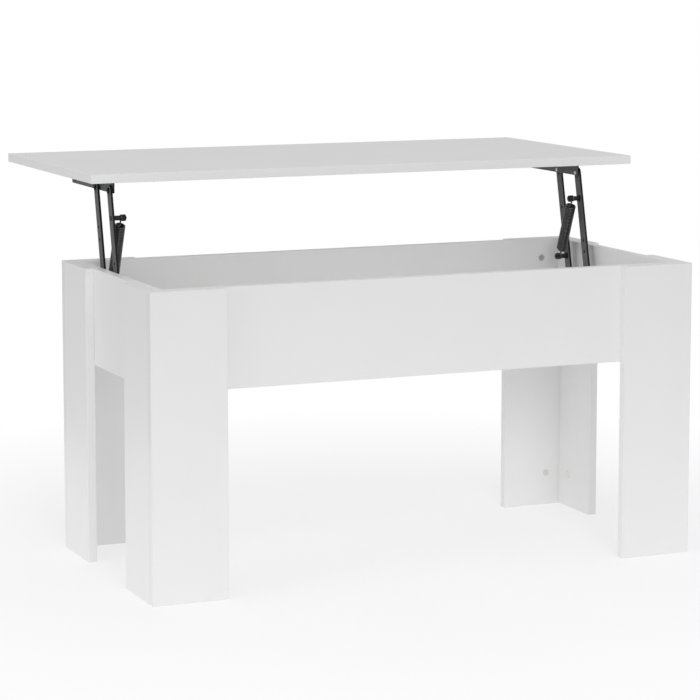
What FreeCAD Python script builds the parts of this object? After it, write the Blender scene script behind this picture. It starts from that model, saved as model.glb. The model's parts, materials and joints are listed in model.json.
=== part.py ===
import FreeCAD, Part
import math
import os

from FreeCAD import Placement, Rotation, Vector

# Lift top coffee table, in millimetres. +X runs along the long side, +Y is the way the top swings out
# when it is raised, +Z is up. The origin is on the floor, at the centre of the base.
# The table is modelled with its top raised.

# ---- Boards
BOARD = 15.0                    # thickness of every board
EDGE_RADIUS = 0.6               # the soft arris of an edge-banded board
TOP_LENGTH = 1010.0
TOP_DEPTH = 490.0
BASE_LENGTH = 980.0             # over the outsides of the legs
BASE_DEPTH = 465.0
BASE_HEIGHT = 505.0             # floor to the upper ends of the legs
BOX_HEIGHT = 165.0              # the storage box hangs flush with the upper ends of the legs
BOTTOM_RECESS = 6.0             # the bottom panel sits this far above the box's lower edge
LEG_FACE_WIDTH = 130.0          # leg board on the long side
LEG_SIDE_REACH = 133.0          # how far a leg reaches round the short side
SHUT_GAP = 0.5                  # between the legs and the shut top

# ---- Lifting mechanism, one at each end
LEAN = 13.0                     # degrees past upright of the raised arms
ARM_LENGTH = 217.0              # between the two pivots of an arm
ARM_WIDTH = 19.2
ARM_THICKNESS = 4.0
ARM_PLANE = 445.0               # distance of the arms' mid-plane from the centre
PIVOT_SPACING = 71.0            # front arm to rear arm
LOWER_PIVOT_Z = 424.0
PIVOT_DROP = 20.5               # upper pivots below the underside of the top
REAR_PIVOT_BEHIND = 122.7       # lower pivot of the rear arm, measured along Y
REAR_ARM_HOLES = (127.0, 148.0)             # spare holes, measured from the lower pivot
FRONT_ARM_HOLES = (72.0, 93.0)
SPARE_HOLE_RADIUS = 2.5
TIP_HOLE_DROP = 8.0             # small hole below the upper pivot
TIP_HOLE_RADIUS = 1.9
PIN_RADIUS = 3.95
RUNNING_CLEARANCE = 0.05
OPEN_PIVOT_CLEARANCE = 0.3      # at the pivots that close the linkage
SIDE_PLAY = 0.3                 # between an arm and the collars and heads beside it
UPPER_HEAD_RADIUS = 5.2
UPPER_HEAD_HEIGHT = 1.8
UPPER_NECK_RADIUS = 2.75        # the thin end that is staked in the top bracket
STAKED_RADIUS = 3.4
STAKED_HEIGHT = 1.3
STAKED_ROUNDING = 0.9
WASHER_RADIUS = 5.5
LOWER_COLLAR_RADIUS = 7.0
LOWER_HEAD_RADIUS = 6.5
LOWER_HEAD_HEIGHT = 2.5

TOP_BRACKET_LENGTH = 230.0
TOP_BRACKET_AHEAD = 10.5        # front end, ahead of the front pivot
TOP_BRACKET_DROP = 25.0         # height of the hanging flange
TOP_BRACKET_FLANGE = 20.0
BRACKET_SHEET = 2.0
BRACKET_BEND_RADIUS = 2.4
BRACKET_CORNER_RADIUS = 3.0
BRACKET_SPARE_HOLE_INSET = 17.0 # from the rear end, in line with the pivots
WASHER_GAP = 1.25               # between arm and hanging flange
TOP_SCREW_OFFSETS = (14.0, 78.0, 150.0, 216.0)

BASE_PLATE = 2.5
BASE_PLATE_MARGIN = 27.0        # plate beyond the front pivot
BASE_PLATE_TAIL = 41.0          # plate beyond the rear pivot
BASE_PLATE_BELOW = 32.0
BASE_PLATE_ABOVE = 28.0
BASE_LIP = 10.0                 # stiffening lip along the plate's lower edge
BASE_CORNER_RADIUS = 8.0
PLATE_SCREW_INSET = 9.0
STOP_PIN_RADIUS = 4.0
STOP_PIN_UP_ARM = 22.0          # stop pin, measured along the raised rear arm
STOP_COLLAR_RADIUS = 6.0
STOP_COLLAR_GAP = 1.5           # collar's end to the arm
STOP_PIN_PAST_ARM = 1.0
STOP_GAP = 0.3                  # between the pin and the raised arm

# ---- Springs
SPRING_PLANE = 429.0
UPPER_STUD_REACH = 170.0        # spring stud on the front arm, from its lower pivot
LOWER_STUD_REACH = 57.5         # spring stud on the rear arm
COIL_RADIUS = 9.5               # outside
WIRE_RADIUS = 1.4
HOOK_RADIUS = 4.7               # centreline of the eye
HOOK_MOUTH_LOW = 1.2            # the eye's wire stops short of its shank, between these two heights
HOOK_MOUTH_FROM = 1.4
COIL_START = 13.4               # coil's end from the stud's centre
HOOK_BAR_INSET = 0.3            # the bar across the coil's end lies this far inside it
SPRING_SPLIT = 0.3              # coil to moving hook, one wire in the real spring
STUD_HEAD_RADIUS = 4.3
STUD_HEAD_HEIGHT = 1.2
STUD_SHANK_RADIUS = 3.5
STUD_COLLAR_RADIUS = 6.0
STUD_COLLAR_HEIGHT = 1.5
STUD_BODY_RADIUS = 4.2
STUD_GROOVE_HALF = 1.8
STUD_GROOVE_PLAY = 0.3
STUD_THREAD_RADIUS = 2.5
STUD_THREAD_LENGTH = 7.5
NUT_FLATS = 10.0
NUT_THICKNESS = 6.0
NUT_CHAMFER = 0.5

# ---- Fasteners
CAM_RADIUS = 6.0
CAM_DEPTH = 11.0
CAM_BOSS_RADIUS = 2.8           # the boss with the cross recess, inside a ring groove
CAM_RIM = 0.9                   # wall outside the groove
CAM_GROOVE_DEPTH = 2.0
CAM_RECESS_DEPTH = 1.4
CAM_INSET = 34.0                # cam's centre from the joint
BOLT_END_FROM_CAM = 3.5
BOLT_RADIUS = 3.0
BOLT_THREAD_RADIUS = 2.5
BOLT_THREAD = 11.0              # length in the neighbouring board
DOWEL_RADIUS = 4.0
DOWEL_IN_EDGE = 20.0
DOWEL_IN_FACE = 9.5
HOLE_PLAY = 0.1
CAP_RADIUS = 6.9
CAP_THICKNESS = 3.2
CAP_ROUNDING = 2.4
PLUG_RADIUS = 5.6
PLUG_HEIGHT = 0.9
PLUG_ROUNDING = 0.6
PLUG_STEM_RADIUS = 3.7
PLUG_STEM = 8.0
PLUG_FROM_CORNER = 28.0
BOX_CAM_HEIGHTS = (375.0, 470.0)
BOX_DOWEL_HEIGHT = 422.0
BOTTOM_CAM_X = (-300.0, 0.0, 300.0)
BOTTOM_DOWEL_Y = 100.0
LEG_CAM_HEIGHTS = (60.0, 300.0)
LEG_DOWEL_HEIGHTS = (180.0, 420.0)
LEG_SCREW_HEIGHTS = (385.0, 440.0)
LEG_SCREW_X = 400.0
LEG_SCREW_Y = 185.0
LEG_SCREW_LENGTH = 24.5
SHORT_SCREW_LENGTH = 12.0
SCREW_RADIUS = 2.0
SCREW_HEAD_RADIUS = 4.0
SCREW_HEAD_HEIGHT = 2.4
PAN_ROUNDING = 1.4
RECESS_DEPTH = 1.3
RECESS_ARM = 0.62               # cross recess: length and half width of an arm, of the head's radius
RECESS_HALF = 0.12
NEAR = 0.01                     # how close an edge's middle lies to the plane that picks it out

SIDES = {"left": -1, "right": 1}
ENDS = {"front": -1, "back": 1}
X_AXIS = Vector(1, 0, 0)
Z_AXIS = Vector(0, 0, 1)

# ---- Places worked out from the driving dimensions
leg_x = BASE_LENGTH / 2         # outside of the legs
leg_y = BASE_DEPTH / 2
box_x = leg_x - BOARD           # outside of the box
box_y = leg_y - BOARD
room_x = box_x - BOARD          # inside of the box
room_y = box_y - BOARD
box_z = BASE_HEIGHT - BOX_HEIGHT
bottom_z = box_z + BOTTOM_RECESS

lean = math.radians(LEAN)
shut_rise = BASE_HEIGHT + SHUT_GAP - PIVOT_DROP - LOWER_PIVOT_Z
shut_lean = math.acos(shut_rise / ARM_LENGTH)
top_shift = ARM_LENGTH * (math.sin(lean) + math.sin(shut_lean))
underside = LOWER_PIVOT_Z + ARM_LENGTH * math.cos(lean) + PIVOT_DROP

arm_run = Vector(0, math.sin(lean), math.cos(lean))
arm_across = Vector(0, math.cos(lean), -math.sin(lean))
arm_inner = ARM_PLANE - ARM_THICKNESS / 2
arm_outer = ARM_PLANE + ARM_THICKNESS / 2
flange_outer = arm_inner - WASHER_GAP
flange_inner = flange_outer - BRACKET_SHEET
plate_face = room_x - BASE_PLATE
pivot_y = {"rear": REAR_PIVOT_BEHIND, "front": REAR_PIVOT_BEHIND - PIVOT_SPACING}


def save(name, *shapes):
    """Write one sub-part; several shapes become a group of separate solids."""
    shape = shapes[0] if len(shapes) == 1 else Part.makeCompound(list(shapes))
    shape.exportStep(f"parts/{name}.step")


def block(low, high):
    corner = Vector(*(min(a, b) for a, b in zip(low, high)))
    far = Vector(*(max(a, b) for a, b in zip(low, high)))
    size = far - corner
    return Part.makeBox(size.x, size.y, size.z, corner)


def rod(start, end, radius):
    return Part.makeCylinder(radius, (end - start).Length, start, end - start)


def placed(shape, point, direction):
    """A copy of a shape drawn along +Z from the origin, moved to a point and turned to a direction."""
    copy = shape.copy()
    copy.Placement = Placement(point, Rotation(Z_AXIS, direction))
    return copy


def stepped_pin(side, y, z, steps):
    """A turned pin along X; each step is its two distances from the centre and its radius."""
    parts = [rod(Vector(side * a, y, z), Vector(side * b, y, z), r) for a, b, r in steps]
    return parts[0].fuse(parts[1:]).removeSplitter()


def soft_edges(shape, radius, keep):
    """Round the edges whose centre passes the test."""
    return shape.makeFillet(radius, [e for e in shape.Edges if keep(e.CenterOfMass)])


# ---- Fasteners, drawn along +Z from the surface that they go into

def cross_recess(radius, depth):
    reach = radius * RECESS_ARM
    half = radius * RECESS_HALF
    bars = [block((-reach, -half, 0), (reach, half, depth)), block((-half, -reach, 0), (half, reach, depth))]
    return bars[0].fuse(bars[1])


def cam_lock():
    """A round cam; in its face a ring groove and a boss with a cross recess."""
    body = Part.makeCylinder(CAM_RADIUS, CAM_DEPTH)
    groove = Part.makeCylinder(CAM_RADIUS - CAM_RIM, CAM_GROOVE_DEPTH)
    groove = groove.cut(Part.makeCylinder(CAM_BOSS_RADIUS, CAM_GROOVE_DEPTH))
    return body.cut([groove, cross_recess(CAM_BOSS_RADIUS, CAM_RECESS_DEPTH)])


def countersunk_screw(length, grow=0.0):
    cone = Part.makeCone(SCREW_HEAD_RADIUS + grow, SCREW_RADIUS + grow, SCREW_HEAD_HEIGHT)
    shank = Part.makeCylinder(SCREW_RADIUS + grow, length + grow)
    return cone.fuse(shank).removeSplitter()


def button(radius, height, rounding):
    """A round head that stands out of the surface, with its outer edge rounded."""
    head = Part.makeCylinder(radius, height, Vector(0, 0, -height))
    return soft_edges(head, rounding, lambda c: abs(c.z + height) < NEAR)


def pan_screw(length):
    head = button(SCREW_HEAD_RADIUS, SCREW_HEAD_HEIGHT, PAN_ROUNDING)
    recess = cross_recess(SCREW_HEAD_RADIUS, RECESS_DEPTH)
    recess.translate(Vector(0, 0, -SCREW_HEAD_HEIGHT))
    return head.cut(recess).fuse(Part.makeCylinder(SCREW_RADIUS, length)).removeSplitter()


def hex_nut(bore, across_flats, thickness):
    corner = across_flats / math.sqrt(3)
    points = [Vector(corner * math.cos(math.radians(a)), corner * math.sin(math.radians(a)), 0)
              for a in range(0, 361, 60)]
    body = Part.Face(Part.makePolygon(points)).extrude(Vector(0, 0, thickness))
    crown = Part.makeCone(corner - NUT_CHAMFER, corner - NUT_CHAMFER + thickness, thickness)
    return body.common(crown).cut(Part.makeCylinder(bore, thickness))


def cam_bolts(joints, grow=0.0):
    """Bolts that run from a cam across a joint: each joint is its point and the way across it."""
    bolts = []
    for point, across in joints:
        shank = rod(point - across * (CAM_INSET - BOLT_END_FROM_CAM + grow), point, BOLT_RADIUS + grow)
        thread = rod(point, point + across * (BOLT_THREAD + grow), BOLT_THREAD_RADIUS + grow)
        bolts.append(shank.fuse(thread).removeSplitter())
    return bolts


def dowels(joints, grow=0.0):
    return [rod(point - across * (DOWEL_IN_EDGE + grow), point + across * (DOWEL_IN_FACE + grow),
                DOWEL_RADIUS + grow) for point, across in joints]


def cams(places, grow=0.0):
    """Cams set in a board's face: each place is the centre on the face and the way in."""
    if grow:
        return [rod(p, p + way * (CAM_DEPTH + grow), CAM_RADIUS + grow) for p, way in places]
    return [placed(cam_lock(), p, way) for p, way in places]


# ---- Joint places

def box_joints():
    """Cam places, bolt joints and dowel joints of the box and its bottom."""
    cam_places = []
    bolt_joints = []
    dowel_joints = []
    for sx in SIDES.values():
        out_x = Vector(sx, 0, 0)
        for sy in ENDS.values():
            mid_y = sy * (room_y + BOARD / 2)
            for z in BOX_CAM_HEIGHTS:
                cam_places.append((Vector(sx * (room_x - CAM_INSET), sy * room_y, z), Vector(0, sy, 0)))
                bolt_joints.append((Vector(sx * room_x, mid_y, z), out_x))
            dowel_joints.append((Vector(sx * room_x, mid_y, BOX_DOWEL_HEIGHT), out_x))
            side_dowel = Vector(sx * room_x, sy * BOTTOM_DOWEL_Y, bottom_z + BOARD / 2)
            dowel_joints.append((side_dowel, out_x))
    for sy in ENDS.values():
        for x in BOTTOM_CAM_X:
            cam_places.append((Vector(x, sy * (room_y - CAM_INSET), bottom_z), Z_AXIS))
            bolt_joints.append((Vector(x, sy * room_y, bottom_z + BOARD / 2), Vector(0, sy, 0)))
    return cam_places, bolt_joints, dowel_joints


def leg_joints():
    """Cam places, bolt joints and dowel joints that hold a leg's side board to its face board."""
    cam_places = []
    bolt_joints = []
    dowel_joints = []
    for sx in SIDES.values():
        for sy in ENDS.values():
            mid_x = sx * (box_x + BOARD / 2)
            out_y = Vector(0, sy, 0)
            for z in LEG_CAM_HEIGHTS:
                cam_places.append((Vector(sx * box_x, sy * (box_y - CAM_INSET), z), Vector(sx, 0, 0)))
                bolt_joints.append((Vector(mid_x, sy * box_y, z), out_y))
            for z in LEG_DOWEL_HEIGHTS:
                dowel_joints.append((Vector(mid_x, sy * box_y, z), out_y))
    return cam_places, bolt_joints, dowel_joints


def leg_screw_places():
    """Where the box is screwed to the legs from inside: points on its inner faces and the way in."""
    places = []
    for sx in SIDES.values():
        for sy in ENDS.values():
            for z in LEG_SCREW_HEIGHTS:
                places.append((Vector(sx * LEG_SCREW_X, sy * room_y, z), Vector(0, sy, 0)))
                places.append((Vector(sx * room_x, sy * LEG_SCREW_Y, z), Vector(sx, 0, 0)))
    return places


def plate_screw_places(side):
    rear = pivot_y["rear"] + BASE_PLATE_TAIL - PLATE_SCREW_INSET
    front = pivot_y["front"] - BASE_PLATE_MARGIN + PLATE_SCREW_INSET
    low = LOWER_PIVOT_Z - BASE_PLATE_BELOW + PLATE_SCREW_INSET + BASE_PLATE
    high = LOWER_PIVOT_Z + BASE_PLATE_ABOVE - PLATE_SCREW_INSET
    return [(Vector(side * plate_face, y, z), Vector(side, 0, 0)) for y in (front, rear) for z in (low, high)]


def top_screw_places(side):
    x = side * (flange_inner - TOP_BRACKET_FLANGE / 2)
    front = upper_pivot("front").y - TOP_BRACKET_AHEAD
    return [(Vector(x, front + y, underside - BRACKET_SHEET), Z_AXIS) for y in TOP_SCREW_OFFSETS]


def lower_pivot(arm):
    return Vector(0, pivot_y[arm], LOWER_PIVOT_Z)


def upper_pivot(arm):
    return lower_pivot(arm) + arm_run * ARM_LENGTH


def plug_places():
    return [(Vector(sx * (box_x - PLUG_FROM_CORNER), sy * box_y, LEG_CAM_HEIGHTS[0]), Vector(0, sy, 0))
            for sx in SIDES.values() for sy in ENDS.values()]


# ---- Base

def all_holes():
    """Every hole that the fasteners need in the boards, a little larger than the fasteners."""
    holes = []
    for cam_places, bolt_joints, dowel_joints in (box_joints(), leg_joints()):
        holes += cams(cam_places, HOLE_PLAY)
        holes += cam_bolts(bolt_joints, HOLE_PLAY)
        holes += dowels(dowel_joints, HOLE_PLAY)
    screw = countersunk_screw(LEG_SCREW_LENGTH, HOLE_PLAY)
    holes += [placed(screw, p, way) for p, way in leg_screw_places()]
    pilot = Part.makeCylinder(SCREW_RADIUS + HOLE_PLAY, SHORT_SCREW_LENGTH + HOLE_PLAY)
    for side in SIDES.values():
        holes += [placed(pilot, p, way) for p, way in plate_screw_places(side) + top_screw_places(side)]
    stem = Part.makeCylinder(PLUG_STEM_RADIUS + HOLE_PLAY, PLUG_STEM + HOLE_PLAY)
    holes += [placed(stem, p, way) for p, way in plug_places()]
    return holes


def board(low, high, holes):
    plain = block(low, high)
    soft = plain.makeFillet(EDGE_RADIUS, plain.Edges)
    near = [h for h in holes if h.BoundBox.intersect(plain.BoundBox)]
    return soft.cut(near) if near else soft


def save_box(holes):
    top_z = BASE_HEIGHT
    save("front_panel", board((-room_x, -box_y, box_z), (room_x, -room_y, top_z), holes))
    save("back_panel", board((-room_x, room_y, box_z), (room_x, box_y, top_z), holes))
    for name, side in SIDES.items():
        low = (side * room_x, -box_y, box_z)
        high = (side * box_x, box_y, top_z)
        save(f"{name}_side_panel", board(low, high, holes))
    save("bottom_panel", board((-room_x, -room_y, bottom_z), (room_x, room_y, bottom_z + BOARD), holes))


def save_legs(holes):
    for side_name, sx in SIDES.items():
        for end_name, sy in ENDS.items():
            face_edge = Vector(sx * (leg_x - LEG_FACE_WIDTH), sy * box_y, BASE_HEIGHT)
            face = board((sx * leg_x, sy * leg_y, 0), face_edge, holes)
            flank_edge = Vector(sx * box_x, sy * (leg_y - LEG_SIDE_REACH), BASE_HEIGHT)
            flank = board((sx * leg_x, sy * box_y, 0), flank_edge, holes)
            save(f"leg_{end_name}_{side_name}_face_board", face)
            save(f"leg_{end_name}_{side_name}_side_board", flank)


def save_board_fasteners():
    for name, joints in (("box", box_joints()), ("leg", leg_joints())):
        cam_places, bolt_joints, dowel_joints = joints
        mouths = cam_bolts(bolt_joints, HOLE_PLAY)
        locks = [cam.cut([m for m in mouths if m.BoundBox.intersect(cam.BoundBox)])
                 for cam in cams(cam_places)]
        save(f"{name}_cam_locks", *locks)
        save(f"{name}_cam_bolts", *cam_bolts(bolt_joints))
        save(f"{name}_dowels", *dowels(dowel_joints))
    screw = countersunk_screw(LEG_SCREW_LENGTH).cut(cross_recess(SCREW_HEAD_RADIUS, RECESS_DEPTH))
    save("leg_screws", *[placed(screw, p, way) for p, way in leg_screw_places()])
    cap = button(CAP_RADIUS, CAP_THICKNESS, CAP_ROUNDING)
    save("leg_cam_caps", *[placed(cap, p, way) for p, way in leg_joints()[0]])
    plug = button(PLUG_RADIUS, PLUG_HEIGHT, PLUG_ROUNDING)
    plug = plug.fuse(Part.makeCylinder(PLUG_STEM_RADIUS, PLUG_STEM)).removeSplitter()
    save("leg_hole_plugs", *[placed(plug, p, way) for p, way in plug_places()])


def base_bracket(side):
    """Plate on the side panel that carries the two lower pivots and the stop."""
    front = pivot_y["front"] - BASE_PLATE_MARGIN
    rear = pivot_y["rear"] + BASE_PLATE_TAIL
    low = LOWER_PIVOT_Z - BASE_PLATE_BELOW
    high = LOWER_PIVOT_Z + BASE_PLATE_ABOVE
    plate = block((side * plate_face, front, low), (side * room_x, rear, high))
    plate = soft_edges(plate, BASE_CORNER_RADIUS,
                       lambda c: high - c.z < NEAR and min(c.y - front, rear - c.y) < NEAR)
    lip = block((side * (room_x - BASE_LIP), front, low), (side * room_x, rear, low + BASE_PLATE))
    bracket = plate.fuse(lip).removeSplitter()
    pins = [rod(Vector(side * plate_face, y, LOWER_PIVOT_Z), Vector(side * room_x, y, LOWER_PIVOT_Z),
                PIN_RADIUS + HOLE_PLAY) for y in pivot_y.values()]
    stop = stop_pin_centre()
    pins.append(rod(Vector(side * plate_face, stop.y, stop.z), Vector(side * room_x, stop.y, stop.z),
                    STOP_PIN_RADIUS + HOLE_PLAY))
    shanks = [placed(Part.makeCylinder(SCREW_RADIUS + HOLE_PLAY, BASE_PLATE), p, way)
              for p, way in plate_screw_places(side)]
    return bracket.cut(pins + shanks)


def stop_pin_centre():
    aside = ARM_WIDTH / 2 + STOP_PIN_RADIUS + STOP_GAP
    return lower_pivot("rear") + arm_run * STOP_PIN_UP_ARM + arm_across * aside


def lower_pivot_pin(side, which):
    """A pin riveted to the plate, with a collar behind the arm and a formed head in front of it."""
    collar_end = arm_outer + SIDE_PLAY
    head_start = arm_inner - SIDE_PLAY
    return stepped_pin(side, pivot_y[which], LOWER_PIVOT_Z, [
        (room_x, plate_face, PIN_RADIUS),
        (plate_face, collar_end, LOWER_COLLAR_RADIUS),
        (collar_end, head_start, PIN_RADIUS),
        (head_start, head_start - LOWER_HEAD_HEIGHT, LOWER_HEAD_RADIUS)])


def stop_pin(side):
    centre = stop_pin_centre()
    collar_end = arm_outer + STOP_COLLAR_GAP
    return stepped_pin(side, centre.y, centre.z, [
        (room_x, plate_face, STOP_PIN_RADIUS),
        (plate_face, collar_end, STOP_COLLAR_RADIUS),
        (collar_end, arm_inner - STOP_PIN_PAST_ARM, STOP_PIN_RADIUS)])


# ---- Arms, studs and springs

def arm(side, which):
    """A flat bar with round ends, two pivot holes, the stud's hole and small spare holes."""
    start = lower_pivot(which)
    end = upper_pivot(which)
    inner = Vector(side * arm_inner, 0, 0)
    outer = Vector(side * arm_outer, 0, 0)
    corners = [start - arm_across * (ARM_WIDTH / 2), start + arm_across * (ARM_WIDTH / 2),
               end + arm_across * (ARM_WIDTH / 2), end - arm_across * (ARM_WIDTH / 2)]
    outline = Part.makePolygon([inner + c for c in corners + corners[:1]])
    bar = Part.Face(outline).extrude(outer - inner)
    ends = [rod(inner + p, outer + p, ARM_WIDTH / 2) for p in (start, end)]
    bar = bar.fuse(ends).removeSplitter()
    bar = soft_edges(bar, EDGE_RADIUS,
                     lambda c: min(abs(abs(c.x) - arm_inner), abs(abs(c.x) - arm_outer)) < NEAR)
    loose_end = PIN_RADIUS + OPEN_PIVOT_CLEARANCE
    held_end = PIN_RADIUS + RUNNING_CLEARANCE
    carries_top = which == "rear" and side == SIDES["left"]
    spare = REAR_ARM_HOLES if which == "rear" else FRONT_ARM_HOLES
    holes = [(0.0, held_end), (ARM_LENGTH, held_end if carries_top else loose_end)]
    holes += [(distance, SPARE_HOLE_RADIUS) for distance in spare]
    holes += [(ARM_LENGTH - TIP_HOLE_DROP, TIP_HOLE_RADIUS)]
    holes += [(stud_reach(which), STUD_SHANK_RADIUS + HOLE_PLAY)]
    cuts = [rod(inner + start + arm_run * d, outer + start + arm_run * d, r) for d, r in holes]
    return bar.cut(cuts)


def stud_reach(which):
    return LOWER_STUD_REACH if which == "rear" else UPPER_STUD_REACH


def stud_centre(which):
    return lower_pivot(which) + arm_run * stud_reach(which)


def spring_stud(side, which):
    """A grooved stud riveted through the arm; the spring's eye runs in the groove."""
    centre = stud_centre(which)
    body_start = arm_inner - STUD_COLLAR_HEIGHT
    groove_start = SPRING_PLANE + STUD_GROOVE_HALF
    groove_end = SPRING_PLANE - STUD_GROOVE_HALF
    return stepped_pin(side, centre.y, centre.z, [
        (arm_outer + STUD_HEAD_HEIGHT, arm_outer, STUD_HEAD_RADIUS),
        (arm_outer, arm_inner, STUD_SHANK_RADIUS),
        (arm_inner, body_start, STUD_COLLAR_RADIUS),
        (body_start, groove_start, STUD_BODY_RADIUS),
        (groove_start, groove_end, HOOK_RADIUS - WIRE_RADIUS - STUD_GROOVE_PLAY),
        (groove_end, groove_end - STUD_THREAD_LENGTH, STUD_THREAD_RADIUS)])


def stud_nut(side, which):
    centre = stud_centre(which)
    nut = hex_nut(STUD_THREAD_RADIUS + RUNNING_CLEARANCE, NUT_FLATS, NUT_THICKNESS)
    seat = Vector(side * (SPRING_PLANE - STUD_GROOVE_HALF), centre.y, centre.z)
    return placed(nut, seat, Vector(-side, 0, 0))


def spring_axis():
    return stud_centre("front") - stud_centre("rear")


def hook(bar_z):
    """An eye round the origin with its shank up to a bar across the coil's end."""
    eye = Part.makeTorus(HOOK_RADIUS, WIRE_RADIUS, Vector(0, 0, 0), X_AXIS)
    clear = HOOK_RADIUS + 2 * WIRE_RADIUS
    mouth = block((-clear, HOOK_MOUTH_FROM, HOOK_MOUTH_LOW), (clear, clear, HOOK_RADIUS))
    bar_half = COIL_RADIUS - WIRE_RADIUS
    shank = rod(Vector(0, 0, HOOK_RADIUS), Vector(0, 0, bar_z), WIRE_RADIUS)
    bar = rod(Vector(0, -bar_half, bar_z), Vector(0, bar_half, bar_z), WIRE_RADIUS)
    return eye.cut(mouth).fuse([shank, bar]).removeSplitter()


def spring_coil(side):
    """The close-wound body as a tube, with the hook that stays on the lower stud."""
    length = spring_axis().Length - 2 * COIL_START
    tube = Part.makeCylinder(COIL_RADIUS, length, Vector(0, 0, COIL_START))
    tube = tube.cut(Part.makeCylinder(COIL_RADIUS - 2 * WIRE_RADIUS, length, Vector(0, 0, COIL_START)))
    spring = tube.fuse(hook(COIL_START + WIRE_RADIUS + HOOK_BAR_INSET)).removeSplitter()
    return placed(spring, Vector(side * SPRING_PLANE, 0, 0) + stud_centre("rear"), spring_axis())


def spring_hook(side):
    """The hook that stays on the upper stud and draws the coil out as the top shuts."""
    upper = hook(COIL_START - SPRING_SPLIT - WIRE_RADIUS)
    return placed(upper, Vector(side * SPRING_PLANE, 0, 0) + stud_centre("front"), spring_axis() * -1)


# ---- Top

def top_bracket(side):
    """An angle screwed under the top; its hanging flange carries the two upper pivots."""
    front = upper_pivot("front").y - TOP_BRACKET_AHEAD
    rear = front + TOP_BRACKET_LENGTH
    hanging = block((side * flange_inner, front, underside - TOP_BRACKET_DROP),
                    (side * flange_outer, rear, underside))
    flat = block((side * (flange_outer - TOP_BRACKET_FLANGE), front, underside - BRACKET_SHEET),
                 (side * flange_outer, rear, underside))
    angle = hanging.fuse(flat).removeSplitter()
    angle = soft_edges(angle, BRACKET_BEND_RADIUS,
                       lambda c: abs(abs(c.x) - flange_outer) < NEAR and abs(c.z - underside) < NEAR)
    low = underside - TOP_BRACKET_DROP
    angle = soft_edges(angle, BRACKET_CORNER_RADIUS,
                       lambda c: abs(c.z - low) < NEAR and min(abs(c.y - front), abs(c.y - rear)) < NEAR)
    across = Vector(side * BRACKET_SHEET, 0, 0)
    pins = [rod(p, p + across, UPPER_NECK_RADIUS + HOLE_PLAY)
            for p in (upper_pivot(which) + Vector(side * flange_inner, 0, 0) for which in pivot_y)]
    shanks = [placed(Part.makeCylinder(SCREW_RADIUS + HOLE_PLAY, BRACKET_SHEET), p, way)
              for p, way in top_screw_places(side)]
    spare = Vector(side * flange_inner, rear - BRACKET_SPARE_HOLE_INSET, underside - PIVOT_DROP)
    return angle.cut(pins + shanks + [rod(spare, spare + across, UPPER_NECK_RADIUS)])


def upper_pivot_pin(side, which):
    """A shouldered pin: a low head outside the arm, and a neck that is staked in the bracket."""
    centre = upper_pivot(which)
    head_start = arm_outer + SIDE_PLAY
    staked_end = flange_inner - STAKED_HEIGHT
    pin = stepped_pin(side, centre.y, centre.z, [
        (head_start + UPPER_HEAD_HEIGHT, head_start, UPPER_HEAD_RADIUS),
        (head_start, flange_outer, PIN_RADIUS),
        (flange_outer, flange_inner, UPPER_NECK_RADIUS),
        (flange_inner, staked_end, STAKED_RADIUS)])
    ends = (head_start + UPPER_HEAD_HEIGHT, staked_end)
    return soft_edges(pin, STAKED_ROUNDING, lambda c: min(abs(abs(c.x) - x) for x in ends) < NEAR)


def upper_pivot_washer(side, which):
    centre = upper_pivot(which)
    inner = Vector(side * flange_outer, centre.y, centre.z)
    outer = Vector(side * (arm_inner - SIDE_PLAY), centre.y, centre.z)
    return rod(inner, outer, WASHER_RADIUS).cut(rod(inner, outer, PIN_RADIUS + RUNNING_CLEARANCE))


def save_mechanism(name, side):
    save(f"base_bracket_{name}", base_bracket(side))
    screw = pan_screw(SHORT_SCREW_LENGTH)
    save(f"base_bracket_screws_{name}", *[placed(screw, p, way) for p, way in plate_screw_places(side)])
    save(f"lower_pivot_pins_{name}", *[lower_pivot_pin(side, which) for which in pivot_y])
    save(f"stop_pin_{name}", stop_pin(side))
    for which, level in (("front", "upper"), ("rear", "lower")):
        save(f"{which}_arm_{name}", arm(side, which))
        save(f"{level}_spring_stud_{name}", spring_stud(side, which))
        save(f"{level}_spring_nut_{name}", stud_nut(side, which))
    save(f"spring_coil_{name}", spring_coil(side))
    save(f"spring_hook_{name}", spring_hook(side))
    save(f"top_bracket_{name}", top_bracket(side))
    save(f"top_bracket_screws_{name}", *[placed(screw, p, way) for p, way in top_screw_places(side)])
    save(f"upper_pivot_pins_{name}", *[upper_pivot_pin(side, which) for which in pivot_y])
    save(f"upper_pivot_washers_{name}", *[upper_pivot_washer(side, which) for which in pivot_y])


os.makedirs("parts", exist_ok=True)
board_holes = all_holes()
save_box(board_holes)
save_legs(board_holes)
save_board_fasteners()
save("table_top", board((-TOP_LENGTH / 2, top_shift - TOP_DEPTH / 2, underside),
                        (TOP_LENGTH / 2, top_shift + TOP_DEPTH / 2, underside + BOARD), board_holes))
for side_name, side_sign in SIDES.items():
    save_mechanism(side_name, side_sign)
print("shut angle", round(LEAN + math.degrees(shut_lean), 3), "top shift", round(top_shift, 2))
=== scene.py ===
import json
import math

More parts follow.
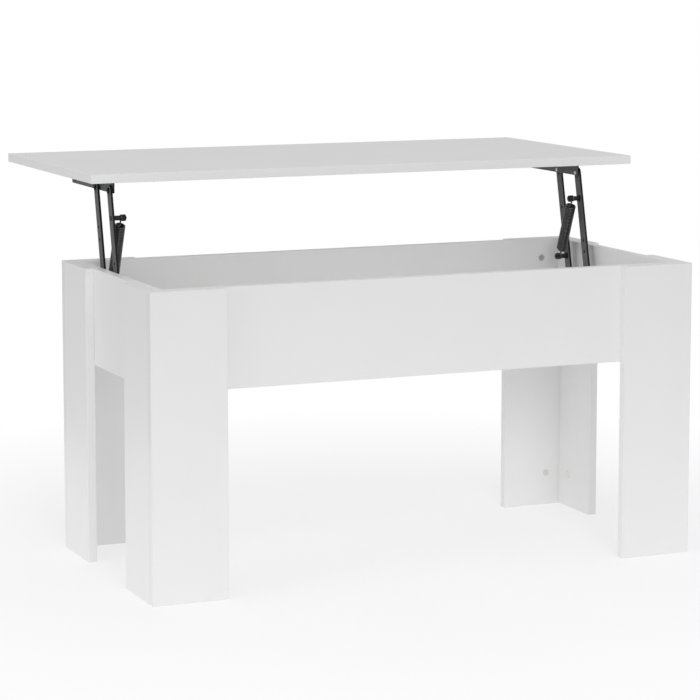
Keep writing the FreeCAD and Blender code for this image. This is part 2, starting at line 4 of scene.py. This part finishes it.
import bpy
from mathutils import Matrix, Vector

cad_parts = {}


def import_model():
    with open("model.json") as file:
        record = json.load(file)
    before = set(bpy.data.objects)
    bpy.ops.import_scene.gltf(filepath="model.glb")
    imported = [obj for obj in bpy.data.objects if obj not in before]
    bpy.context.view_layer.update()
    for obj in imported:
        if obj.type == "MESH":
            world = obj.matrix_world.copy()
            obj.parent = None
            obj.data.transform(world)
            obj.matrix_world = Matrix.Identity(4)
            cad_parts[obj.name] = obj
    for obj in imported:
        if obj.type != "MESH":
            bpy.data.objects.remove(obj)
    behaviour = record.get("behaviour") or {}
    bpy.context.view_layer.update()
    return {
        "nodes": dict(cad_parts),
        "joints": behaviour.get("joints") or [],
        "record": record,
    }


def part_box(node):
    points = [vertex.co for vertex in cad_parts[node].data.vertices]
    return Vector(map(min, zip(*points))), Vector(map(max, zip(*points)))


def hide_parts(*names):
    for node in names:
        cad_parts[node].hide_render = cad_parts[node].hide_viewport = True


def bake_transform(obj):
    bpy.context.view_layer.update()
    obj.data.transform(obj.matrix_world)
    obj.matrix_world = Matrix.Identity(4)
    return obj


# Looks for the lift top coffee table: materials for every CAD node, wound springs in place of the
# plain spring solids, a pale floor, soft light and the camera. Metres, in the part's own frame.

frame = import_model()
nodes = frame["nodes"]

SIDES = ("left", "right")

# ---- Camera
CAMERA_PLACE = Vector((-1.8413, -4.1603, 1.0512))
CAMERA_HEADING = 23.32          # degrees from +Y towards +X
CAMERA_PITCH = 7.22             # degrees below the horizon
CAMERA_LENS = 137.0             # mm, as is the sensor
CAMERA_SENSOR = 36.0
CAMERA_SHIFT_Y = -0.1015        # share of the sensor's width
CAMERA_REACH = 60.0             # the farthest distance that it takes in

# ---- Springs
COIL_RADIUS = 0.0081            # wire's centreline
WIRE_RADIUS = 0.0014
EYE_RADIUS = 0.0047
COIL_START = 0.0134             # coil's end from the eye's centre
TURN_GAP = 1.03                 # pitch over wire thickness
EYE_FREE_END = 50.0             # degrees round the eye, from the coil's side
EYE_LEAVES = 318.0              # where the eye's ring runs on into the stem
STEM_FOOT = 0.0090              # the straight stem starts this far from the eye's centre
STEM_CORNER = 0.0022            # radius of the turn from the stem into the end of the coil
SPIRAL_DIP = 0.0004             # the turned-in end lies this far outside the first turn
SPIRAL_START = 0.14             # share of the half turn that the stem's corner takes up
WIRE_SIDES = 10                 # of the wire's round section
STEPS_PER_TURN = 24
EYE_STEPS = 18
NECK_STEPS = 6                  # from the eye into the stem
CORNER_STEPS = 5                # from the stem into the half turn
SPIRAL_STEPS = 13

# ---- Pivot pins
STAKED_END = 0.0013             # length of the bare end
BARE_METALLIC = 0.15            # kept low, so that the bare end's near-white colour shows as a painted highlight

# ---- Floor and light
FLOOR_NEAR = 0.6                # the floor starts to fade here, measured from the table's middle
FLOOR_RADIUS = 1.4              # and is as white as the backdrop at its rim
FLOOR_DROP = 0.0002             # keeps the floor clear of the legs' ends
FLOOR_RIM_STEP = 3              # degrees
FLOOR_GLOW = 0.52               # what it gives off near the table; the backdrop gives off 1
SKY_LEVEL = 0.38                # at the horizon
SKY_ABOVE = 0.43                # added overhead
SKY_FULL = 0.8                  # upward part of the direction at which all of it is added
LIGHT_AIM = Vector((0, 0, 0.45))
LIGHT_SIZE = 1.8                # across
KEY_PLACE = Vector((-0.9, -5.0, 2.25))
KEY_POWER = 50.0                # watts
FILL_PLACE = Vector((-5.0, -1.3, 1.35))
FILL_POWER = 31.0

# ---- Boards
BOARD_WHITE = 0.90              # of the melamine faces
BAND_THICKNESS = 0.0008         # edge band, seen as a rim round each face
GLUE_LINE = 0.00012
GLUE_TONE = 0.72                # the glue line against the faces
GLUE_SHARE = 0.35               # how much of it shows
BAND_TONE = 0.96                # the band against the faces
TOP_BAND_PAINTED_LIGHT = 1.06            # the top's band is painted brighter than its faces: painted light on the top's edges

# ---- Noise textures: most of their values lie between two ends
SOFT_ENDS = (0.3, 0.7)
FIRM_ENDS = (0.35, 0.65)


# ---------------------------------------------------------------- node helpers

# Sockets of a Mix node, which has a set of them for each kind of data.
MIX_FACTOR = 0
MIX_FLOATS = (2, 3)
MIX_COLOURS = (6, 7)
MIX_COLOUR_OUT = 2


class Nodes:
    """A small wrapper that adds nodes to a material and links them."""

    def __init__(self, name):
        self.material = bpy.data.materials.new(name)
        self.material.use_nodes = True
        self.tree = self.material.node_tree
        self.shader = next(n for n in self.tree.nodes if n.type == "BSDF_PRINCIPLED")
        self.place = self.add("ShaderNodeTexCoord").outputs["Object"]

    def add(self, kind, inputs=None, **settings):
        node = self.tree.nodes.new(kind)
        for key, value in settings.items():
            setattr(node, key, value)
        for key, value in (inputs or {}).items():
            self.feed(node.inputs[key], value)
        return node

    def feed(self, socket, value):
        if isinstance(value, bpy.types.NodeSocket):
            self.tree.links.new(value, socket)
        else:
            socket.default_value = value

    def math(self, operation, *values):
        return self.add("ShaderNodeMath", dict(enumerate(values)), operation=operation).outputs[0]

    def noise(self, scale, detail=2.0, roughness=0.5, vector=None):
        inputs = {"Vector": vector or self.place, "Scale": scale,
                  "Detail": detail, "Roughness": roughness}
        return self.add("ShaderNodeTexNoise", inputs).outputs["Fac"]

    def stretch(self, scale):
        inputs = {"Vector": self.place, "Scale": scale}
        return self.add("ShaderNodeMapping", inputs).outputs["Vector"]

    def remap(self, value, low, high, to_low, to_high):
        inputs = {"Value": value, "From Min": low, "From Max": high,
                  "To Min": to_low, "To Max": to_high}
        return self.add("ShaderNodeMapRange", inputs).outputs["Result"]

    def vary(self, texture, low, high, ends=SOFT_ENDS):
        """A number that goes from low to high as a texture goes from one end to the other."""
        return self.remap(texture, *ends, low, high)

    def tint(self, texture, low, high, ends=SOFT_ENDS):
        """The same for a colour."""
        return self.ramp(texture, list(zip(ends, (low, high))))

    def ramp(self, value, stops):
        node = self.add("ShaderNodeValToRGB", {"Fac": value})
        elements = node.color_ramp.elements
        for _ in range(len(elements), len(stops)):
            elements.new(0.5)
        for element, (position, colour) in zip(elements, stops):
            element.position = position
            element.color = (*colour, 1.0)
        return node.outputs["Color"]

    def mix(self, factor, a, b):
        """Blend of two colours."""
        inputs = {MIX_FACTOR: factor, MIX_COLOURS[0]: a, MIX_COLOURS[1]: b}
        return self.add("ShaderNodeMix", inputs, data_type="RGBA").outputs[MIX_COLOUR_OUT]

    def bump(self, height, strength, distance):
        inputs = {"Height": height, "Strength": strength, "Distance": distance}
        return self.add("ShaderNodeBump", inputs).outputs["Normal"]

    def finish(self, colour, roughness, normal=None, **fixed):
        self.feed(self.shader.inputs["Base Color"], colour)
        self.feed(self.shader.inputs["Roughness"], roughness)
        if normal is not None:
            self.feed(self.shader.inputs["Normal"], normal)
        for key, value in fixed.items():
            self.shader.inputs[key.replace("_", " ")].default_value = value
        return self.material


def grey(value):
    return (value, value, value)


def cast(value, shares):
    """A grey with a slight colour cast."""
    return tuple(value * share for share in shares)


def darker(colour, share):
    """The same colour at a share of its brightness."""
    return tuple(part * share for part in colour)


def rgba(colour):
    return (*colour, 1.0)


# ---------------------------------------------------------------- materials

def melamine(node_name, band_tone_and_painted_light):
    """Satin white board: pressed texture, faint mottling, and an edge band with its glue line."""
    low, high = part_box(node_name)
    size = high - low
    thin = min(range(3), key=lambda axis: size[axis])
    m = Nodes(f"melamine_{node_name}")
    axes = m.add("ShaderNodeSeparateXYZ", {"Vector": m.place}).outputs
    edge = None     # distance from the nearest of the board's four edges
    for axis in range(3):
        if axis == thin:
            continue
        near = m.math("MINIMUM", m.math("SUBTRACT", axes[axis], low[axis]),
                      m.math("SUBTRACT", high[axis], axes[axis]))
        edge = near if edge is None else m.math("MINIMUM", edge, near)
    band = m.remap(edge, BAND_THICKNESS, BAND_THICKNESS + GLUE_LINE, 1.0, 0.0)
    seam = m.math("COMPARE", edge, BAND_THICKNESS, GLUE_LINE)
    mottle = m.noise(scale=9.0, detail=3.0)
    grain = m.noise(scale=520.0)
    pearl = m.noise(scale=1700.0, detail=1.0)
    pearl_share = 0.5
    band_polish = -0.07
    face = m.tint(mottle, low=cast(BOARD_WHITE, (0.985, 0.986, 0.984)),
                  high=cast(BOARD_WHITE, (1.0, 1.0, 0.998)))
    # For the table top the band's tone is painted brighter: painted light on its edges.
    banded = m.mix(band, face, rgba(grey(BOARD_WHITE * band_tone_and_painted_light)))
    colour = m.mix(m.math("MULTIPLY", seam, GLUE_SHARE), banded,
                   rgba(grey(BOARD_WHITE * GLUE_TONE)))
    roughness = m.math("ADD", m.vary(grain, low=0.33, high=0.41),
                       m.math("MULTIPLY", band, band_polish))
    height = m.math("ADD", grain, m.math("MULTIPLY", pearl, pearl_share))
    normal = m.bump(height, strength=0.10, distance=0.0004)
    return m.finish(colour, roughness, normal, Specular_IOR_Level=0.42)


def powder_coat(name, shade, rough, edge_painted_shade):
    """Painted flat steel: orange peel, faint clouds and scuffs; cut edges and hole walls are
    painted darker as painted shade.

    The flats of the arms and brackets face along X, so what doesn't is a cut.
    """
    m = Nodes(name)
    peel = m.noise(scale=1400.0, roughness=0.6)
    cloud = m.noise(scale=60.0, detail=4.0, roughness=0.6)
    scuff = m.noise(scale=260.0, detail=5.0, roughness=0.75)
    scuff_roughness = 0.2
    edge_roughness = 0.25
    base = m.tint(cloud, low=cast(shade, (0.85, 0.87, 0.9)), high=cast(shade, (1.15, 1.15, 1.17)))
    worn = m.vary(scuff, low=0.0, high=0.35, ends=(0.62, 0.75))
    flat = m.mix(worn, base, rgba(cast(shade, (2.1, 2.1, 2.15))))
    direction = m.add("ShaderNodeNewGeometry").outputs["Normal"]
    facing = m.add("ShaderNodeSeparateXYZ", {"Vector": direction}).outputs
    cut = m.vary(m.math("ABSOLUTE", facing["X"]), low=1.0, high=0.0, ends=(0.5, 0.8))
    # Cut edges and hole walls are painted darker here: painted shade.
    colour = m.mix(cut, flat, rgba(grey(edge_painted_shade)))
    roughness = m.math("ADD", m.vary(cloud, low=rough - 0.05, high=rough + 0.07),
                       m.math("MULTIPLY", worn, scuff_roughness))
    roughness = m.math("ADD", roughness, m.math("MULTIPLY", cut, edge_roughness))
    normal = m.bump(peel, strength=0.22, distance=0.0003)
    return m.finish(colour, roughness, normal, Specular_IOR_Level=0.24)


def black_oxide(name, shade, rough, sheen_level, oil=0.0):
    """Blackened steel: nearly black, patchy, with fine dust; oil lays a glossy film over it."""
    m = Nodes(name)
    patch = m.noise(scale=420.0, detail=4.0, roughness=0.65)
    fine = m.noise(scale=2600.0)
    colour = m.tint(patch, low=cast(shade, (0.7, 0.72, 0.78)), high=cast(shade, (1.3, 1.28, 1.25)),
                    ends=(0.35, 0.7))
    roughness = m.vary(patch, low=rough - 0.06, high=rough + 0.08, ends=FIRM_ENDS)
    normal = m.bump(fine, strength=0.12, distance=0.0002)
    return m.finish(colour, roughness, normal, Specular_IOR_Level=sheen_level,
                    Coat_Weight=oil, Coat_Roughness=0.12)


def turned_steel(name, tone, rough, metallic=1.0):
    """Plated or bare steel with fine turning marks and a few stains."""
    m = Nodes(name)
    stretched = m.stretch((4000.0, 300.0, 300.0))
    marks = m.noise(scale=1.0, detail=3.0, roughness=0.6, vector=stretched)
    stain = m.noise(scale=180.0, detail=4.0, roughness=0.6)
    colour = m.tint(stain, low=darker(tone, share=0.86), high=tone, ends=FIRM_ENDS)
    roughness = m.math("ADD", m.vary(marks, low=rough - 0.06, high=rough + 0.06),
                       m.vary(stain, low=0.05, high=-0.03))
    normal = m.bump(marks, strength=0.15, distance=0.0002)
    return m.finish(colour, roughness, normal, Metallic=metallic)


def moulded_plastic(name, tone, rough):
    """Moulded plastic with a fine matt skin and faint flow marks."""
    m = Nodes(name)
    skin = m.noise(scale=2200.0)
    flow = m.noise(scale=140.0, detail=3.0)
    colour = m.tint(flow, low=darker(tone, share=0.96), high=tone)
    roughness = m.vary(skin, low=rough - 0.05, high=rough + 0.08)
    return m.finish(colour, roughness, m.bump(skin, strength=0.12, distance=0.0002))


def beech():
    """Pale wood, with its grain along X."""
    m = Nodes("beech_dowel")
    stretched = m.stretch((60.0, 900.0, 900.0))
    grain = m.noise(scale=1.0, detail=5.0, roughness=0.6, vector=stretched)
    colour = m.ramp(grain, [(0.3, (0.50, 0.33, 0.18)), (0.55, (0.68, 0.48, 0.29)),
                            (0.75, (0.76, 0.58, 0.38))])
    roughness = m.vary(grain, low=0.6, high=0.75)
    return m.finish(colour, roughness, m.bump(grain, strength=0.3, distance=0.0003))


def pivot_pin_steel(side):
    """Blackened pins whose staked inner ends are bare, hammered steel, coloured near-white as a
    painted highlight.
    """
    low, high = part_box(f"upper_pivot_pins_{side}")
    inner_end = min(abs(low.x), abs(high.x))
    m = Nodes(f"pivot_pin_{side}")
    axes = m.add("ShaderNodeSeparateXYZ", {"Vector": m.place}).outputs
    from_middle = m.math("ABSOLUTE", axes["X"])
    bare = m.math("LESS_THAN", from_middle, inner_end + STAKED_END)
    stain = m.noise(scale=900.0, detail=3.0, roughness=0.6)
    bare_polish = -0.34
    dark = m.tint(stain, low=grey(0.005), high=grey(0.009))
    # The bare end's near-white colour is a painted highlight.
    bare_painted_highlight = m.tint(stain, low=grey(0.84), high=grey(0.95))
    roughness = m.math("ADD", m.vary(stain, low=0.6, high=0.7),
                       m.math("MULTIPLY", bare, bare_polish))
    m.feed(m.shader.inputs["Metallic"], m.math("MULTIPLY", bare, BARE_METALLIC))
    normal = m.bump(stain, strength=0.2, distance=0.0003)
    return m.finish(m.mix(bare, dark, bare_painted_highlight), roughness, normal, Specular_IOR_Level=0.2)


def floor_material():
    """Pale near the table, fading to the white of the backdrop."""
    m = Nodes("pale_floor")
    haze = m.noise(scale=1.2, detail=3.0)
    pale = m.tint(haze, low=grey(0.49), high=grey(0.51))
    reach = m.add("ShaderNodeVectorMath", {0: m.place}, operation="LENGTH").outputs["Value"]
    fade = (FLOOR_NEAR, FLOOR_RADIUS)
    m.feed(m.shader.inputs["Emission Strength"], m.vary(reach, low=FLOOR_GLOW, high=1.0, ends=fade))
    colour = m.mix(m.vary(reach, low=0.0, high=1.0, ends=fade), pale, rgba(grey(0.0)))
    return m.finish(colour, roughness=0.9, Emission_Color=rgba(grey(1.0)), Specular_IOR_Level=0.0)


def paint(obj, material):
    """Give an object one material in every slot."""
    if not obj.material_slots:
        obj.data.materials.append(material)
    for entry in obj.material_slots:
        entry.material = material


# ---------------------------------------------------------------- springs

def bend(start, corner, end, steps):
    """Points of a smooth bend, without its first point."""
    points = []
    for step in range(1, steps + 1):
        t = step / steps
        points.append(start * (1 - t) ** 2 + corner * 2 * t * (1 - t) + end * t ** 2)
    return points


def coil_point(radius, angle, height):
    """A point round the spring's axis; angle 0 is on the -Y side, where the coil starts."""
    return Vector((radius * math.sin(angle), -radius * math.cos(angle), height))


def eye_and_neck():
    """Round the stud, up a stem on the spring's axis, then out in half a turn to the coil's rim."""
    line = []
    for step in range(EYE_STEPS + 1):
        angle = math.radians(EYE_FREE_END + (EYE_LEAVES - EYE_FREE_END) * step / EYE_STEPS)
        line.append(Vector((0, EYE_RADIUS * math.sin(angle), EYE_RADIUS * math.cos(angle))))
    leave = math.radians(EYE_LEAVES)
    corner = Vector((0, 0, EYE_RADIUS / math.cos(leave)))
    line += bend(line[-1], corner, Vector((0, 0, STEM_FOOT)), NECK_STEPS)
    level = COIL_START + WIRE_RADIUS - SPIRAL_DIP
    spiral = []
    for step in range(SPIRAL_STEPS + 1):
        t = SPIRAL_START + (1 - SPIRAL_START) * step / SPIRAL_STEPS
        spiral.append(coil_point(COIL_RADIUS * math.sin(t * math.pi / 2), -math.pi * (1 - t),
                                 level + SPIRAL_DIP * t))
    stem_top = Vector((0, 0, level - STEM_CORNER))
    line += bend(stem_top, Vector((0, 0, level)), spiral[0], CORNER_STEPS)
    return line + spiral[1:]


def wire_line(length):
    """Centreline of an extension spring along +Z, its two eyes centred at 0 and at length.

    The coil has a half turn over, so that its two ends lie on opposite sides.
    """
    lower = eye_and_neck()
    start = COIL_START + WIRE_RADIUS
    rise = length - 2 * start
    turns = int(rise / (2 * WIRE_RADIUS * TURN_GAP)) + 0.5
    count = round(turns * STEPS_PER_TURN)
    coil = [coil_point(COIL_RADIUS, 2 * math.pi * turns * step / count, start + rise * step / count)
            for step in range(1, count)]
    upper = [Vector((p.x, -p.y, length - p.z)) for p in reversed(lower)]
    return lower + coil + upper


def wire_mesh(name, line):
    """A round wire along a line of points, without twist and closed at both ends."""
    vertices = []
    faces = []
    normal = Vector((1, 0, 0))
    for index, point in enumerate(line):
        ahead = line[min(index + 1, len(line) - 1)] - line[max(index - 1, 0)]
        ahead.normalize()
        normal = (normal - ahead * normal.dot(ahead)).normalized()
        across = ahead.cross(normal)
        for side in range(WIRE_SIDES):
            angle = 2 * math.pi * side / WIRE_SIDES
            outward = normal * math.cos(angle) + across * math.sin(angle)
            vertices.append(point + outward * WIRE_RADIUS)
    for index in range(len(line) - 1):
        for side in range(WIRE_SIDES):
            a = index * WIRE_SIDES + side
            b = index * WIRE_SIDES + (side + 1) % WIRE_SIDES
            faces.append((a, b, b + WIRE_SIDES, a + WIRE_SIDES))
    faces.append(tuple(reversed(range(WIRE_SIDES))))
    last = (len(line) - 1) * WIRE_SIDES
    faces.append(tuple(range(last, last + WIRE_SIDES)))
    mesh = bpy.data.meshes.new(name)
    mesh.from_pydata(vertices, [], faces)
    for polygon in mesh.polygons:
        polygon.use_smooth = len(polygon.vertices) == 4
    mesh.update()
    return mesh


def spring(side):
    """A wound spring between the two studs, built once as a fixed mesh; on the real table it
    stretches as the top shuts.
    """
    turn_joint = next(entry for entry in frame["joints"] if entry["name"] == f"spring_turn_{side}")
    foot = Vector(turn_joint["pos_m"])
    low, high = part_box(f"upper_spring_stud_{side}")
    head = Vector((foot.x, (low.y + high.y) / 2, (low.z + high.z) / 2))
    along = head - foot
    turn = Vector((0, 0, 1)).rotation_difference(along.normalized()).to_matrix()
    line = [foot + turn @ point for point in wire_line(along.length)]
    obj = bpy.data.objects.new(f"wound_spring_{side}", wire_mesh(f"wound_spring_{side}", line))
    bpy.context.scene.collection.objects.link(obj)
    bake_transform(obj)
    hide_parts(f"spring_coil_{side}", f"spring_hook_{side}")
    return obj


# ---------------------------------------------------------------- stage, light and camera

def floor():
    """A round sheet under the table."""
    angles = [math.radians(step) for step in range(0, 360, FLOOR_RIM_STEP)]
    rim = [(FLOOR_RADIUS * math.cos(angle), FLOOR_RADIUS * math.sin(angle), 0) for angle in angles]
    mesh = bpy.data.meshes.new("floor")
    mesh.from_pydata(rim, [], [tuple(range(len(rim)))])
    obj = bpy.data.objects.new("floor", mesh)
    bpy.context.scene.collection.objects.link(obj)
    paint(obj, floor_material())
    obj.location.z = -FLOOR_DROP


def area_light(name, place, power):
    """A large round lamp, aimed at the table, that the camera doesn't see."""
    data = bpy.data.lights.new(name, "AREA")
    data.shape = "DISK"
    data.size = LIGHT_SIZE
    data.energy = power
    obj = bpy.data.objects.new(name, data)
    bpy.context.scene.collection.objects.link(obj)
    obj.location = place
    obj.rotation_euler = (LIGHT_AIM - place).to_track_quat("-Z", "Y").to_euler()
    obj.visible_camera = False


def world():
    """White to the camera; the light that it gives is soft, and brighter overhead."""
    made = bpy.data.worlds.new("studio")
    bpy.context.scene.world = made
    made.use_nodes = True
    tree = made.node_tree
    background = tree.nodes["Background"]
    background.inputs["Color"].default_value = (1, 1, 1, 1)
    direction = tree.nodes.new("ShaderNodeTexCoord").outputs["Generated"]
    split = tree.nodes.new("ShaderNodeSeparateXYZ")
    tree.links.new(direction, split.inputs[0])
    level = tree.nodes.new("ShaderNodeMapRange")
    tree.links.new(split.outputs["Z"], level.inputs["Value"])
    for key, value in (("From Min", 0.0), ("From Max", SKY_FULL),
                       ("To Min", SKY_LEVEL), ("To Max", SKY_LEVEL + SKY_ABOVE)):
        level.inputs[key].default_value = value
    choose = tree.nodes.new("ShaderNodeMix")
    seen = tree.nodes.new("ShaderNodeLightPath").outputs["Is Camera Ray"]
    tree.links.new(seen, choose.inputs[MIX_FACTOR])
    tree.links.new(level.outputs["Result"], choose.inputs[MIX_FLOATS[0]])
    choose.inputs[MIX_FLOATS[1]].default_value = 1.0
    tree.links.new(choose.outputs[0], background.inputs["Strength"])


def camera():
    data = bpy.data.cameras.new("camera")
    data.lens = CAMERA_LENS
    data.sensor_width = CAMERA_SENSOR
    data.shift_y = CAMERA_SHIFT_Y
    data.clip_end = CAMERA_REACH
    obj = bpy.data.objects.new("camera", data)
    bpy.context.scene.collection.objects.link(obj)
    obj.location = CAMERA_PLACE
    obj.rotation_euler = (math.radians(90.0 - CAMERA_PITCH), 0, math.radians(-CAMERA_HEADING))
    bpy.context.scene.camera = obj


# ---------------------------------------------------------------- the scene

for node_name in nodes:
    if node_name == "table_top" or node_name.endswith(("_panel", "_board")):
        # The table top's band tone is painted light on its edges.
        tone = TOP_BAND_PAINTED_LIGHT if node_name == "table_top" else BAND_TONE
        paint(nodes[node_name], melamine(node_name, tone))

slot_materials = {
    "black_paint": powder_coat("dark_grey_powder_coat", shade=0.125, rough=0.42, edge_painted_shade=0.010),
    "black_steel": black_oxide("blackened_steel", shade=0.008, rough=0.34, sheen_level=0.5),
    "spring_wire": black_oxide("oiled_spring_wire", shade=0.012, rough=0.2,
                               sheen_level=0.9, oil=0.5),
    "zinc": turned_steel("bright_zinc", tone=grey(0.76), rough=0.45, metallic=0.75),
    "screw_steel": turned_steel("plated_screw", tone=(0.38, 0.38, 0.39), rough=0.3),
    "cap_plastic": moulded_plastic("white_cap_plastic", tone=(0.86, 0.86, 0.85), rough=0.4),
    "plug_plastic": moulded_plastic("light_plug_plastic", tone=(0.74, 0.74, 0.73), rough=0.5),
    "beech": beech(),
}
for entry in frame["record"]["subparts"]:
    if entry["material_slot"] in slot_materials:
        paint(nodes[entry["node"]], slot_materials[entry["material_slot"]])

for side in SIDES:
    paint(spring(side), slot_materials["spring_wire"])
    paint(nodes[f"upper_pivot_pins_{side}"], pivot_pin_steel(side))

floor()
world()
area_light("key", KEY_PLACE, KEY_POWER)
area_light("fill", FILL_PLACE, FILL_POWER)
camera()
bpy.context.scene.view_settings.view_transform = "Standard"
